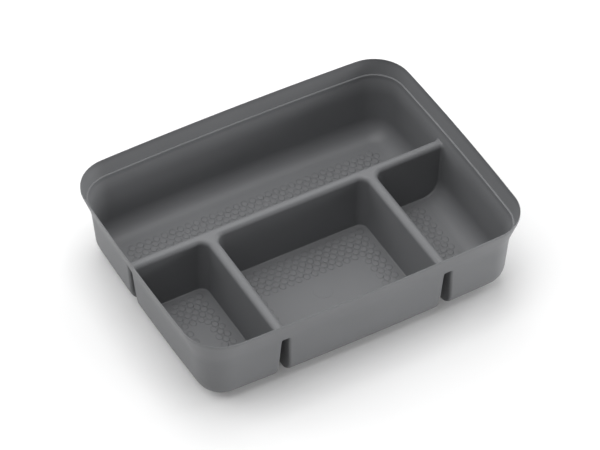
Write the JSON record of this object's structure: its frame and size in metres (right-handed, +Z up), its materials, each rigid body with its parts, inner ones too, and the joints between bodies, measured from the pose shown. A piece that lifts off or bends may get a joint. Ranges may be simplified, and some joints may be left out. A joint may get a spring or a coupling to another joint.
{
  "type": "compartment organiser tray",
  "caption": "Shallow rounded storage tray with a flared rim, a long compartment behind and a row of smaller ones in front, divided by hollow ridges.",
  "frame": {"origin": "middle of the tray on the plane it stands on", "axes": "+X along the long side to the right, +Y to the long back compartment, +Z up"},
  "size_m": [0.34, 0.2636, 0.0833],
  "materials": {
    "moulded_grey": "satin, fine moulded grain",
    "floor_grey": "satin, low raised grip pattern"
  },
  "bodies": {
    "root": {"rim_lip": "moulded_grey", "wall_collar": "moulded_grey", "long_ridge": "moulded_grey", "left_ridge": "moulded_grey", "right_ridge": "moulded_grey", "back_compartment_walls": "moulded_grey", "back_compartment_floor": "floor_grey", "left_compartment_walls": "moulded_grey", "left_compartment_floor": "floor_grey", "centre_compartment_walls": "moulded_grey", "centre_compartment_floor": "floor_grey", "right_compartment_walls": "moulded_grey", "right_compartment_floor": "floor_grey"}
  },
  "joints": []
}
